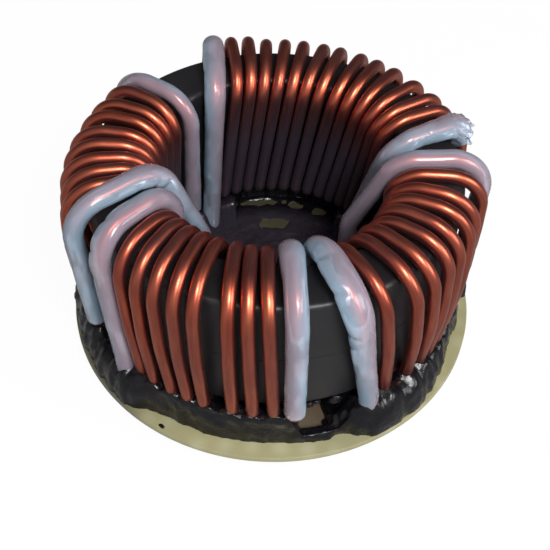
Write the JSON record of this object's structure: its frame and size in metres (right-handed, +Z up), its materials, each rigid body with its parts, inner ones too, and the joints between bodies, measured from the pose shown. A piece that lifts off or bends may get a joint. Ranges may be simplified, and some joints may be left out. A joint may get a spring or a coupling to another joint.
{
  "type": "toroidal inductor",
  "caption": "Toroidal common-mode choke: heavy enamelled-copper windings on a cased ring core, bedded on a round board with sleeved leads and solder pins.",
  "frame": {"origin": "centre of the round board's underside, the seating face that the pins leave through", "axes": "+Z up along the core's axis, -Y towards the gap between the front and right windings, +X to the right of it"},
  "size_m": [0.09, 0.09, 0.0521],
  "materials": {
    "board": "satin glass-fibre laminate, olive beige",
    "adhesive": "glossy near-black cured adhesive",
    "case": "satin black moulded plastic",
    "core": "dark grey sintered ring",
    "wire": "glossy clear enamel over copper; the pin ends are tinned",
    "sleeve": "translucent bluish white sleeving"
  },
  "bodies": {
    "root": {"base_plate": "board", "adhesive": "adhesive", "core_case_lower": "case", "core_case_upper": "case", "core": "core", "winding_back": "wire", "winding_left": "wire", "winding_front": "wire", "winding_right": "wire", "sleeve_back_right": "sleeve", "sleeve_back_left": "sleeve", "sleeve_left_rear": "sleeve", "sleeve_left_front": "sleeve", "sleeve_front_left": "sleeve", "sleeve_front_right": "sleeve", "sleeve_right_front": "sleeve", "sleeve_right_rear": "sleeve"}
  },
  "joints": []
}
